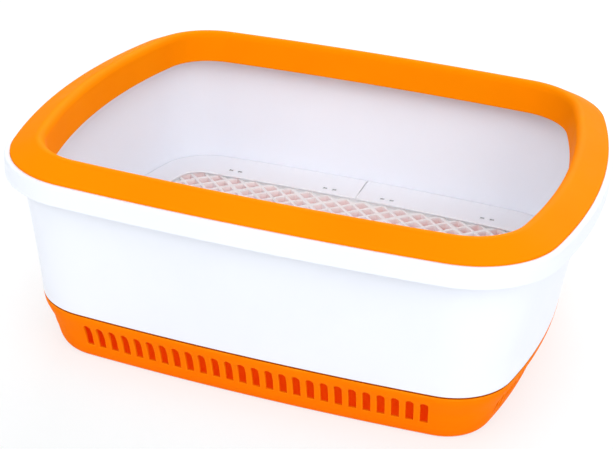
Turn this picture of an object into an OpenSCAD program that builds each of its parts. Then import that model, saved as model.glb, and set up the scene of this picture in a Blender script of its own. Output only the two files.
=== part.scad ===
// Open-top sieve litter tray: a slotted base, a flared tub, a lift-out lattice and a rim guard.
// Origin on the floor under the middle of the tray, X along its length, Y from front to back, Z up.

/* [Outline] */
// Length of the tub's lip
lip_length = 530; // [500:5:560]
// Width of the tub's lip
lip_width = 430; // [400:5:460]
// Corner radius of the lip
corner_radius = 90; // [80:1:100]
// How far the front and the back bow out
long_bow = 5; // [3:0.5:10]
// How far the short sides bow out
short_bow = 15; // [8:0.5:20]

/* [Base tray] */
// Height of the seat that carries the tub
base_height = 54; // [52:0.5:60]
// Wall and floor thickness of the base
base_wall = 2.8; // [2.2:0.1:3.4]
// How far the base's rim stands inside the lip
base_inset = 28.3; // [26:0.1:31]
// Height of the plain band under the base's rim
band_height = 5; // [4:0.5:7]
// How far the vented wall stands inside the rim
waist_depth = 9.3; // [8:0.1:10.5]
// How far the floor's edge stands inside the vented wall
foot_reach = 13; // [11:0.5:15]
// Height at which the foot's curve begins
foot_height = 17; // [15:0.5:17]
// Height of the bead that the tub sits on over the rim's outer edge
seat_bead = 0.7; // [0.4:0.1:1]

/* [Vents] */
// Vents on the front and on the back
front_vents = 26; // [18:2:26]
// Distance between the front vents
front_pitch = 12.5; // [11:0.1:12.5]
// Width of a front vent
front_vent_width = 7; // [5:0.1:8]
// Vents on each short side
side_vents = 27; // [19:2:27]
// Distance between the side vents
side_pitch = 10.3; // [9:0.1:10.3]
// Width of a side vent
side_vent_width = 5.8; // [4:0.1:6.5]
// Height of a vent, arch included
vent_height = 24.5; // [20:0.5:25]
// Height of the vents' sills over the floor
vent_sill = 17.5; // [17:0.5:19]

/* [Tub] */
// Height of the lip's top
lip_height = 192; // [170:1:210]
// Depth of the skirt under the lip
lip_skirt = 18; // [14:0.5:24]
// Wall thickness of the tub
tub_wall = 2.5; // [2:0.1:3]
// How far the wall stands inside the lip at the skirt's lower edge
tub_flare_inset = 14; // [11:0.5:17]
// Extra outward curl of the wall near its top
tub_curl = 4.3; // [0:0.1:6]
// Thickness of the ledge that carries the lattice
ledge_thickness = 2; // [1.6:0.1:2.6]
// Depth of the rib that locates the tub inside the base
tub_rib_depth = 7; // [5:0.5:8]
// Rounding of the lip's outer edge
lip_round = 4; // [2:0.5:4.5]
// Width of the lip's top outside the rim guard
lip_border = 5; // [4.6:0.1:7]
// Thickness of the lip's flange
lip_flange = 2.6; // [2:0.1:3.2]

/* [Rim guard] */
// Height of the guard's crest over the lip's top
guard_rise = 12.6; // [11:0.1:14]
// How far the crest stands inside the lip's outline
guard_crest_inset = 29.1; // [28:0.1:31]
// How far the lower edge of the guard's apron stands inside the lip's outline
guard_apron_inset = 38.5; // [37.5:0.1:41]
// Height of the apron
guard_apron = 31.3; // [26:0.1:34]
// Wall thickness of the guard
guard_wall = 2.2; // [1.8:0.1:2.6]
// Rounding of the crest
crest_round = 7; // [5.5:0.1:8]
// Depth of the guard's seat below the lip's top
seat_drop = 1.8; // [1:0.1:2.5]
// Length of the rib that centres the guard in the tub
guard_rib_depth = 12; // [8:0.5:14]

/* [Clamp frame] */
// Length of the frame's opening
opening_length = 413; // [404:1:416]
// Width of the frame's opening
opening_width = 275; // [268:1:280]
// Corner radius of the opening
opening_radius = 25; // [20:0.5:30]
// Thickness of the frame
frame_thickness = 2.6; // [2.2:0.1:3.2]
// Gap between the frame's two halves
frame_seam = 1.2; // [0.8:0.1:2]
// Distance of the inner clips from the seam
clip_near = 32; // [26:0.5:40]
// Distance of the outer clips from the seam
clip_far = 140.5; // [130:0.5:145]
// Distance of the clips from the opening's edge
clip_inset = 10; // [9:0.1:10.5]
// Distance between a clip's two windows
window_pitch = 10.3; // [9.4:0.1:12]
// Width of a clip's window
window_width = 3.5; // [2.5:0.1:3.8]
// Depth of a clip's window
window_depth = 3.6; // [3:0.1:4]
// Thickness of a clip's tongue
tongue_thickness = 2; // [1.6:0.1:2.4]
// Height of the raised pad over each tongue
pad_height = 0.4; // [0.3:0.1:0.6]

/* [Lattice] */
// Distance between the lattice's ribs, measured along X
rib_pitch = 20.58; // [19:0.02:26]
// Thickness of a plain rib
rib_thickness = 3.2; // [2.4:0.1:4]
// Thickness of every fourth rib
heavy_rib_thickness = 4.6; // [3.6:0.1:5.6]
// Depth of the ribs
rib_depth = 8; // [6:0.5:10]
// How far the rib pattern is shifted towards the front
rib_shift = 16; // [0:0.5:20]
// Thickness of the flange round the lattice
flange_thickness = 1.1; // [0.9:0.1:1.3]
// How far the flange reaches past the frame's opening
flange_reach = 18; // [17:0.1:19]
// How far the cells run on under the frame
cell_reach = 1.5; // [1:0.1:2]

/* [Fits] */
// Clearance between parts that lift out of each other
lift_clearance = 0.4; // [0.3:0.05:0.5]

/* [Hidden] */

overlap = 1;
overshoot = 20;
curve_steps = 5;
wall_steps = 4;
corner_steps = 10;
front_steps = 4;
side_steps = 6;
arch_sides = 32;

// Every fourth rib of the lattice is a heavy one
heavy_every = 4;
// Width of the lattice's plain border outside its cells
lattice_border = 3.1;
// How far the band under the base's rim leans in, and how far the foot's curve starts behind the vents
band_lean = 0.6;
foot_lean = 2.5;
// Pulls of the two curves of the base's wall at their ends
band_pull = [-0.6, -7];
vent_pull = [0.4, 8];
foot_pull = [-1.5, -8.5];
floor_pull = [6, 0];
// Height of the vented wall's steepest place below the vents' middle
waist_drop = 5.5;
// Lean of the tub's locating rib over its depth
rib_lean = 1.8;
// The guard's edge: its gap to the lip, its chamfer and how far it stands over the lip
guard_edge_gap = 0.1;
guard_edge_chamfer = 0.6;
guard_edge_rise = 2;
// Limit on how far a sharp corner moves when a path is moved sideways
sharpest_mitre = 0.5;

corner_x = lip_length / 2 - short_bow - corner_radius;
corner_y = lip_width / 2 - long_bow - corner_radius;
long_arc = bow_radius(corner_x, long_bow);
short_arc = bow_radius(corner_y, short_bow);

opening_x = opening_length / 2 - short_bow - opening_radius;
opening_y = opening_width / 2 - long_bow - opening_radius;

ledge_top = base_height + ledge_thickness;
frame_top = ledge_top + frame_thickness;
lip_seat = lip_height - seat_drop;
skirt_bottom = lip_height - lip_skirt;
crest_height = lip_height + guard_rise;
apron_bottom = crest_height - guard_apron;
guard_edge_inset = lip_border + guard_edge_gap;
clip_y = opening_width / 2 + clip_inset;
frame_outer_inset = -tub_face(ledge_top) + tub_wall + lift_clearance;
ledge_reach = cell_reach + lattice_border + lift_clearance;

// ---- Curves ----

// A cubic curve from a to d, pulled towards b and c
function curve(a, b, c, d, steps = curve_steps) = [
    for (i = [0:steps])
        let (t = i / steps, s = 1 - t)
        s * s * s * a + 3 * s * s * t * b + 3 * s * t * t * c + t * t * t * d
];

// A round stretch about the point at
function round_path(at, radius, from, to, steps = curve_steps) = [
    for (i = [0:steps])
        let (a = from + (to - from) * i / steps)
        at + radius * [cos(a), sin(a)]
];

function unit(v) = v / norm(v);
function turned(v) = [-v.y, v.x];

// The same path moved sideways by a distance, to the left of its direction
function moved_path(path, distance) = [
    for (i = [0:len(path) - 1])
        let (
            before = i == 0 ? unit(path[1] - path[0]) : unit(path[i] - path[i - 1]),
            after = i == len(path) - 1 ? before : unit(path[i + 1] - path[i]),
            side = unit(turned(before) + turned(after))
        )
        path[i] + distance * side / max(sharpest_mitre, side * turned(before))
];

function reversed(path) = [for (i = [len(path) - 1:-1:0]) path[i]];

// ---- The outline: four corner arcs joined by four bowed sides ----

// Radius of an arc that bows out by bow over a half length
function bow_radius(half, bow) = (half * half + bow * bow) / (2 * bow);

// Points along an arc, without its last one
function arc_points(centre, radius, from, to, steps) = [
    for (i = [0:steps - 1])
        let (a = from + (to - from) * i / steps)
        centre + radius * [cos(a), sin(a)]
];

// Half of the outline, from the middle of one short side's start to the next corner's end
function half_outline(x, y, radius, sign) =
    let (
        side = bow_radius(y, short_bow),
        front = bow_radius(x, long_bow),
        side_fan = asin(y / side),
        front_fan = asin(x / front),
        turn = sign > 0 ? 0 : 180
    )
    concat(
        arc_points(sign * [x + short_bow - side, 0], side + radius,
            turn - side_fan, turn + side_fan, side_steps),
        arc_points(sign * [x, y], radius,
            turn + side_fan, turn + 90 - front_fan, corner_steps),
        arc_points(sign * [0, y + long_bow - front], front + radius,
            turn + 90 - front_fan, turn + 90 + front_fan, front_steps),
        arc_points(sign * [-x, y], radius,
            turn + 90 + front_fan, turn + 180 - side_fan, corner_steps)
    );

// The whole outline round corner centres at x and y
function outline(x, y, radius) = concat(
    half_outline(x, y, radius, 1),
    half_outline(x, y, radius, -1)
);

// The lip's outline, or one parallel to it
function lip_outline(outside) = outline(corner_x, corner_y, corner_radius + outside);

// The outline of the frame's opening, or one parallel to it
function opening_outline(outside) = outline(opening_x, opening_y, opening_radius + outside);

function raised(points, z) = [for (p = points) [p.x, p.y, z]];

// Rings parallel to the lip, one for each point of a profile: x is the distance outside it, y the height
function lip_rings(profile) = [for (p = profile) raised(lip_outline(p.x), p.y)];

// A skin through a list of rings. A loop of rings closes on itself, an open one is capped at both ends
module loft(rings, loop) {
    rows = len(rings);
    row = len(rings[0]);
    last = loop ? rows - 1 : rows - 2;
    polyhedron(
        points = [for (ring = rings) each ring],
        faces = concat(
            [
                for (i = [0:last])
                    for (j = [0:row - 1])
                        let (
                            next_i = (i + 1) % rows,
                            next_j = (j + 1) % row,
                            a = i * row + j,
                            b = i * row + next_j,
                            c = next_i * row + next_j,
                            d = next_i * row + j
                        )
                        each [[a, c, b], [a, d, c]]
            ],
            loop ? [] : [
                [for (j = [0:row - 1]) j],
                [for (j = [row - 1:-1:0]) (rows - 1) * row + j]
            ]
        ),
        convexity = 8
    );
}

// ---- Base tray ----

vent_face = base_inset + waist_depth;
foot_edge = vent_face + foot_reach;
band_bottom = base_height - band_height;

band_foot = [-base_inset - band_lean, band_bottom];
waist = [-vent_face, vent_sill + vent_height / 2 - waist_drop];
foot_top = [-vent_face - foot_lean, foot_height];
floor_edge = [-foot_edge, 0];

// The outside of the base from its rim down and in along the floor
base_path = concat(
    [[-base_inset, base_height - seat_bead]],
    curve(band_foot, band_foot + band_pull, waist + vent_pull, waist),
    curve(foot_top, foot_top + foot_pull, floor_edge + floor_pull, floor_edge),
    [floor_edge - [overshoot / 2, 0]]
);
base_lining = moved_path(base_path, -base_wall);

// Up the outside, over the rim and its bead, and down the inside
base_profile = concat(
    reversed(base_path),
    [
        [-base_inset - base_wall / 2, base_height - seat_bead],
        [-base_inset - base_wall / 2, base_height],
        [-base_inset - base_wall, base_height]
    ],
    [for (i = [1:len(base_lining) - 1]) base_lining[i]]
);

// A vent: straight sides, a flat sill and an arched top
module vent(width) {
    translate([-width / 2, 0])
        square([width, vent_height - width / 2]);
    translate([0, vent_height - width / 2])
        circle(width / 2, $fn = arch_sides);
}

// A row of vents square to a bowed side whose middle lies at reach
module vent_row(reach, arc, count, pitch, width) {
    face = arc + corner_radius - vent_face;
    for (i = [0:count - 1])
        translate([reach - corner_radius - arc, 0, vent_sill])
            rotate([0, 0, (i - (count - 1) / 2) * pitch / face * 180 / PI])
                translate([face - overshoot / 2, 0, 0])
                    rotate([90, 0, 90])
                        linear_extrude(overshoot)
                            vent(width);
}

module base_tray() {
    color("orange")
        difference() {
            loft(lip_rings(base_profile), false);
            for (turn = [0, 180]) {
                rotate([0, 0, turn])
                    vent_row(lip_length / 2, short_arc, side_vents, side_pitch, side_vent_width);
                rotate([0, 0, turn + 90])
                    vent_row(lip_width / 2, long_arc, front_vents, front_pitch, front_vent_width);
            }
        }
}

// ---- Tub ----

// The outer face of the tub's wall at a height: a draft with a little more flare near the top
function tub_face(z) =
    let (t = (z - base_height) / (skirt_bottom - base_height),
        flare = base_inset - tub_flare_inset)
    -base_inset + (flare - tub_curl) * t + tub_curl * t * t;

tub_path = [
    for (i = [0:wall_steps])
        let (z = base_height + (lip_seat - lip_flange - base_height) * i / wall_steps)
        [tub_face(z), z]
];

rib_face = base_inset + base_wall + lift_clearance;

// Up the outside, round the lip and down the inside as far as the ledge
tub_profile = concat(
    tub_path,
    [
        [-tub_wall, lip_seat - lip_flange],
        [-tub_wall, skirt_bottom],
        [0, skirt_bottom]
    ],
    round_path([-lip_round, lip_height - lip_round], lip_round, 0, 90),
    [
        [-lip_border, lip_height],
        [-lip_border, lip_seat],
        [tub_face(lip_seat) - tub_wall, lip_seat]
    ],
    [for (i = [wall_steps - 1:-1:1]) tub_path[i] - [tub_wall, 0]],
    [[tub_face(ledge_top) - tub_wall, ledge_top]]
);

// The rib under the ledge that locates the tub inside the base
tub_rib_profile = [
    [-rib_face - tub_wall, base_height],
    [-rib_face - tub_wall - rib_lean, base_height - tub_rib_depth],
    [-rib_face - rib_lean, base_height - tub_rib_depth],
    [-rib_face, base_height]
];

module clip_places() {
    for (my = [0, 1])
        mirror([0, my, 0])
            for (x = [clip_near, clip_far])
                translate([x, clip_y, 0])
                    children();
}

// The slot through which a clip's tongue and windows pass
module clip_slots(bottom, height) {
    for (mx = [0, 1])
        mirror([mx, 0, 0])
            clip_places()
                translate([-window_pitch / 2 - window_width / 2 - lift_clearance,
                    -window_depth / 2 - lift_clearance, bottom])
                    cube([window_pitch + window_width + 2 * lift_clearance,
                        window_depth + 2 * lift_clearance, height]);
}

module tub() {
    color("white")
        difference() {
            loft(concat(
                lip_rings(tub_profile),
                [raised(opening_outline(ledge_reach), ledge_top)],
                [raised(opening_outline(ledge_reach), base_height)],
                lip_rings(tub_rib_profile)
            ), true);
            clip_slots(base_height - overlap, ledge_thickness + 2 * overlap);
        }
}

// ---- Lattice ----

rib_step = rib_pitch / sqrt(2);

function rib_half(k) = (k % heavy_every == 0 ? heavy_rib_thickness : rib_thickness) / 2;

// How many ribs reach the corner of the opening along each diagonal
rib_reach = ceil((opening_length + opening_width) / 2 / sqrt(2) / rib_step) + 1;

// Middle of the diamond cell that follows ribs i and j
function cell_middle(i, j) = [
    (i - j) * rib_step / sqrt(2),
    (i + j + 1) * rib_step / sqrt(2) - rib_shift
];

// How far a point lies outside the opening, its sides' bow left out
function outside_opening(p) =
    let (q = [abs(p.x) - opening_x, abs(p.y) - opening_y])
    norm([max(q.x, 0), max(q.y, 0)]) + min(max(q.x, q.y), 0) - opening_radius;

cell_numbers = [
    for (i = [-rib_reach:rib_reach])
        for (j = [-rib_reach:rib_reach])
            [i, j]
];
whole_limit = -rib_pitch / 2;
partial_limit = rib_pitch / 2 + cell_reach + short_bow;

// The diamond holes whose middles lie from one distance to another outside the opening
module cells(from, to) {
    for (n = cell_numbers) {
        place = outside_opening(cell_middle(n.x, n.y));
        low = [n.x * rib_step + rib_half(n.x), n.y * rib_step + rib_half(n.y)];
        high = [(n.x + 1) * rib_step - rib_half(n.x + 1), (n.y + 1) * rib_step - rib_half(n.y + 1)];
        if (place > from && place <= to)
            translate([0, -rib_shift])
                rotate(45)
                    translate(low)
                        square(high - low);
    }
}

module ring_plate(outside, inside) {
    difference() {
        polygon(opening_outline(outside));
        polygon(opening_outline(inside));
    }
}

module lattice() {
    color("whitesmoke") {
        translate([0, 0, ledge_top - rib_depth])
            linear_extrude(rib_depth)
                difference() {
                    polygon(opening_outline(ledge_reach - lift_clearance));
                    cells(-opening_width, whole_limit);
                    intersection() {
                        polygon(opening_outline(cell_reach));
                        cells(whole_limit, partial_limit);
                    }
                }
        difference() {
            translate([0, 0, ledge_top])
                linear_extrude(flange_thickness)
                    ring_plate(flange_reach, cell_reach + overlap);
            clip_slots(ledge_top - overlap, flange_thickness + 2 * overlap);
        }
    }
}

// ---- Clamp frame ----

// The half of the frame on the +X side, with its clips
module clamp_half() {
    difference() {
        translate([0, 0, ledge_top])
            linear_extrude(frame_thickness)
                difference() {
                    polygon(lip_outline(-frame_outer_inset));
                    polygon(opening_outline(0));
                    translate([frame_seam / 2 - lip_length, -lip_width])
                        square([lip_length, 2 * lip_width]);
                }
        translate([0, 0, ledge_top - overlap])
            linear_extrude(flange_thickness + overlap)
                polygon(opening_outline(flange_reach + lift_clearance));
        clip_places()
            for (side = [-1, 1])
                translate([side * window_pitch / 2 - window_width / 2, -window_depth / 2, base_height])
                    cube([window_width, window_depth, frame_top]);
    }
    clip_places()
        translate([-window_pitch / 2 + window_width / 2, -tongue_thickness / 2, base_height - overlap])
            cube([window_pitch - window_width, tongue_thickness, frame_top - base_height + overlap]);
    clip_places()
        translate([-window_pitch / 2 + window_width / 2, -window_depth / 2, frame_top - overlap])
            cube([window_pitch - window_width, window_depth, pad_height + overlap]);
}

module clamp_frame_right() {
    color("gainsboro")
        clamp_half();
}

module clamp_frame_left() {
    color("gainsboro")
        mirror([1, 0, 0])
            clamp_half();
}

// ---- Rim guard ----

guard_edge = [-guard_edge_inset - guard_edge_chamfer, lip_height + guard_edge_rise];
crest_centre = [-guard_crest_inset, crest_height - crest_round];
apron_foot = [-guard_apron_inset, apron_bottom];

// Where on the crest's rounding a straight line from the point p runs off, to one side or the other
function crest_touch(p, side) =
    let (away = p - crest_centre)
    (atan2(away.y, away.x) + side * acos(crest_round / norm(away)) + 360) % 360;

// The outside of the guard from its seat over the crest and down the apron
guard_path = concat(
    [
        [-guard_edge_inset, lip_seat],
        guard_edge + [guard_edge_chamfer, -guard_edge_chamfer],
        guard_edge
    ],
    round_path(crest_centre, crest_round, crest_touch(guard_edge, 1), crest_touch(apron_foot, -1)),
    [apron_foot]
);

guard_lining = moved_path(guard_path, guard_wall);
guard_rib_bottom = lip_seat - guard_rib_depth;
guard_rib_face = tub_face(guard_rib_bottom) - tub_wall - lift_clearance;

// Height of the guard's underside between its edge and its crest
function underside(x) =
    let (edge = guard_lining[2], crest = guard_lining[3])
    edge.y + (crest.y - edge.y) * (x - edge.x) / (crest.x - edge.x);

// Out over the top, round the apron's lower edge and back along the underside and its rib
guard_profile = concat(
    guard_path,
    [for (i = [len(guard_lining) - 1:-1:3]) guard_lining[i]],
    [
        [guard_rib_face - guard_wall, underside(guard_rib_face - guard_wall)],
        [guard_rib_face - guard_wall, guard_rib_bottom],
        [guard_rib_face, guard_rib_bottom],
        [guard_rib_face, underside(guard_rib_face)],
        guard_lining[2],
        guard_lining[1],
        [guard_lining[0].x, lip_seat]
    ]
);

module rim_guard() {
    color("darkorange")
        loft(lip_rings(guard_profile), true);
}

base_tray();
tub();
lattice();
clamp_frame_left();
clamp_frame_right();
rim_guard();
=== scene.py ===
import math
import bmesh
import bpy
import numpy as np
from mathutils import Matrix, Vector
from mathutils.geometry import delaunay_2d_cdt


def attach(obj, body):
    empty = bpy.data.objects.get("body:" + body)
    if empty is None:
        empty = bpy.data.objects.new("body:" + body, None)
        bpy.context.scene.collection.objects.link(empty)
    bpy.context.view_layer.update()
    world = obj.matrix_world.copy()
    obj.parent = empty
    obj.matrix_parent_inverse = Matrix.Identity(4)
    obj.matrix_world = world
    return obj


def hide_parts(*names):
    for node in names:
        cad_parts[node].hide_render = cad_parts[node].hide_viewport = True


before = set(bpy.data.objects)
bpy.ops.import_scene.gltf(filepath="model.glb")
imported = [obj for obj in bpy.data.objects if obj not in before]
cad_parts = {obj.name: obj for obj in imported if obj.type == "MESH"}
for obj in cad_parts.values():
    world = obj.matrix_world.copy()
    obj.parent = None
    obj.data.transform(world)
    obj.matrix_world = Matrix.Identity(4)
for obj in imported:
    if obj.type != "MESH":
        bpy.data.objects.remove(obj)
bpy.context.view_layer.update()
print("frame loaded:", ", ".join(sorted(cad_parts)))

# Lengths are in millimetres, as in the part's source, and become metres when a mesh is made
millimetre = 0.001

# The tray's two outlines, each of four corner arcs joined by four bowed sides. The place u on an outline runs
# from 0 to 8, one for each arc, anticlockwise from the front end of the right side
lipShape = {"cornerX": 160.0, "cornerY": 120.0, "radius": 90.0}
openingShape = {"cornerX": 166.5, "cornerY": 107.5, "radius": 25.0}
bow = {"long": 5.0, "short": 15.0}
columnsPerArc = (40, 44, 56, 44, 40, 44, 56, 44)


def arcsOf(shape):
    # Centre, radius, start angle and sweep of the eight arcs. A bowed side's radius is the square of half its
    # chord plus the square of its bow, over twice its bow
    x, y, r = shape["cornerX"], shape["cornerY"], shape["radius"]
    side = (y * y + bow["short"] ** 2) / (2 * bow["short"])
    front = (x * x + bow["long"] ** 2) / (2 * bow["long"])
    sideFan, frontFan = math.asin(y / side), math.asin(x / front)
    quarter = math.pi / 2
    half = [((x + bow["short"] - side, 0), side + r, -sideFan, 2 * sideFan),
            ((x, y), r, sideFan, quarter - frontFan - sideFan),
            ((0, y + bow["long"] - front), front + r, quarter - frontFan, 2 * frontFan),
            ((-x, y), r, quarter + frontFan, quarter - frontFan - sideFan)]
    centre = np.array([h[0] for h in half] + [(-h[0][0], -h[0][1]) for h in half])
    radius = np.array([h[1] for h in half] * 2)
    start = np.array([h[2] for h in half] + [h[2] + math.pi for h in half])
    sweep = np.array([h[3] for h in half] * 2)
    return centre, radius, start, sweep


def onOutline(shape, u, outside):
    # Centre of the arc that u falls on, plus the arc's radius and the distance outside in u's direction
    centre, radius, start, sweep = arcsOf(shape)
    arc = np.floor(u).astype(int) % 8
    angle = start[arc] + sweep[arc] * (u - np.floor(u))
    reach = radius[arc] + outside
    return centre[arc, 0] + reach * np.cos(angle), centre[arc, 1] + reach * np.sin(angle)


def evenColumns():
    # Places u that divide each arc evenly
    return np.concatenate([arc + np.arange(n) / n for arc, n in enumerate(columnsPerArc)])


def swept(shape, u, profile):
    # Each profile point, a distance outside the outline and a height, is carried round the outline.
    # The result is rows by columns by xyz
    x, y = onOutline(shape, u[None, :], profile[:, :1])
    return np.stack([x, y, np.broadcast_to(profile[:, 1:2], x.shape)], axis=-1)


def ringAt(shape, u, outside, height):
    # One row of such a surface
    return swept(shape, u, np.array([[outside, height]]))[0]


paths = {
    "reach": 5.0,  # the longest straight step
    "guard": 1.2, "guardRoom": 2.4,  # from a rounding to the next point, and how many of it a stretch needs
    "cornerShare": 0.45,  # the most of a side that a rounding takes
    "steepest": 0.9999,  # cosines are kept inside this
    "samePlace": 1e-6, "sameAlong": 1e-4,  # points closer than this are one
    "miter": 0.5,  # a sharp corner moves at most 1 / this times the distance
}


def roundedPath(corners, rounding, closed=False, steps=4):
    # Each corner becomes the quadratic curve from a point before it to one after it, pulled to the corner.
    # Straight stretches get a point a little way from each rounding and one every few millimetres.
    # The second result is the wear and painted light: 1 on the rounded outer edges, which are painted lighter
    # as rubbing wear and as an edge highlight, and 0 away from them
    rule = paths
    c = np.array(corners, float)
    r = np.broadcast_to(np.array(rounding, float), len(c)).copy()
    if not closed:
        r[0] = r[-1] = 0
    back, ahead = np.roll(c, 1, 0) - c, np.roll(c, -1, 0) - c
    backLength, aheadLength = np.hypot(*back.T), np.hypot(*ahead.T)
    back, ahead = back / backLength[:, None], ahead / aheadLength[:, None]
    half = np.arccos(np.clip((back * ahead).sum(1), -rule["steepest"], rule["steepest"])) / 2
    room = rule["cornerShare"] * np.minimum(backLength, aheadLength)
    cut = np.minimum(r / np.tan(half), room)[:, None, None]
    t = np.linspace(0, 1, steps + 1)[None, :, None]
    arcs = c[:, None] + cut * ((1 - t) ** 2 * back[:, None] + t ** 2 * ahead[:, None])
    outer = (ahead[:, 1] * back[:, 0] - ahead[:, 0] * back[:, 1]) > 0
    wornAndPaintedLight = np.repeat(np.where(outer & (r > 0), 1.0, 0.0)[:, None], steps + 1, 1)
    points, wear = arcs.reshape(-1, 2), wornAndPaintedLight.reshape(-1)
    soft = np.repeat(r > 0, steps + 1)
    if closed:
        points = np.vstack([points, points[:1]])
        wear, soft = np.append(wear, wear[0]), np.append(soft, soft[0])
    keep = np.append(True, np.hypot(*np.diff(points, axis=0).T) > rule["samePlace"])
    points, wear, soft = points[keep], wear[keep], soft[keep]
    along = np.append(0, np.cumsum(np.hypot(*np.diff(points, axis=0).T)))
    gap = np.diff(along)
    wide = gap > rule["guardRoom"] * rule["guard"]
    parts = np.ceil(gap / rule["reach"]).astype(int)
    extra = [np.linspace(a, b, n + 1)[1:-1] for a, b, n in zip(along[:-1], along[1:], parts) if n > 1]
    afterSoft = along[:-1][wide & soft[:-1]] + rule["guard"]
    beforeSoft = along[1:][wide & soft[1:]] - rule["guard"]
    at = np.concatenate([along, afterSoft, beforeSoft] + extra)
    order = np.argsort(at, kind="stable")
    at, kept = at[order], order < len(along)
    first = np.append(True, np.diff(at) > rule["sameAlong"])
    at, kept = at[first], kept[first]
    path = np.stack([np.interp(at, along, points[:, 0]), np.interp(at, along, points[:, 1])], axis=1)
    wear = np.where(kept, np.interp(at, along, wear), 0)
    return (path[:-1], wear[:-1]) if closed else (path, wear)


def bezier(a, b, c, d, steps=20):
    # The cubic curve from a to d, pulled towards b and c
    t = np.linspace(0, 1, steps + 1)[:, None]
    a, b, c, d = (np.array(p, float) for p in (a, b, c, d))
    return (1 - t) ** 3 * a + 3 * (1 - t) ** 2 * t * b + 3 * (1 - t) * t ** 2 * c + t ** 3 * d


def mitred(before, after):
    # The mean direction at each corner, longer where it is sharp, so that both its edges keep their gap
    mean = before + after
    mean = mean / np.hypot(*mean.T)[:, None]
    return mean / np.maximum(paths["miter"], (mean * before).sum(1))[:, None]


def movedPath(path, distance):
    # Each point of an open path moves between its two edges' left-hand directions
    edge = np.diff(path, axis=0)
    edge = edge / np.hypot(*edge.T)[:, None]
    left = np.stack([-edge[:, 1], edge[:, 0]], axis=1)
    return path + distance * mitred(np.vstack([left[:1], left]), np.vstack([left, left[-1:]]))


def offsetLoop(loop, distance):
    # Each corner of a closed flat loop moves between its two edges' right-hand directions, which is outwards
    edge = np.roll(loop, -1, 0) - loop
    edge = edge / np.hypot(*edge.T)[:, None]
    right = np.stack([edge[:, 1], -edge[:, 0]], axis=1)
    return loop + distance * mitred(np.roll(right, 1, 0), right)


def boxLoop(centre, size, rounding, steps=3):
    # A rectangle, anticlockwise: each corner's centre plus the rounding over a quarter turn
    x, y = size[0] / 2 - rounding, size[1] / 2 - rounding
    angle = (np.arange(4)[:, None] + np.linspace(0, 1, steps + 1)[None]) * math.pi / 2
    cx = np.array([x, -x, -x, x])[:, None]
    cy = np.array([y, y, -y, -y])[:, None]
    points = np.stack([cx + rounding * np.cos(angle), cy + rounding * np.sin(angle)], axis=-1)
    return points.reshape(-1, 2) + np.array(centre)


# The triangulation's output type for what lies inside the loops, its reach in millimetres, the distance in
# metres within which points are merged, and the least angle in degrees of a sharp edge
meshing = {"insideLoops": 1, "fillReach": 1e-6, "mergeReach": 1e-6, "sharpAngle": 35.0}


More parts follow.
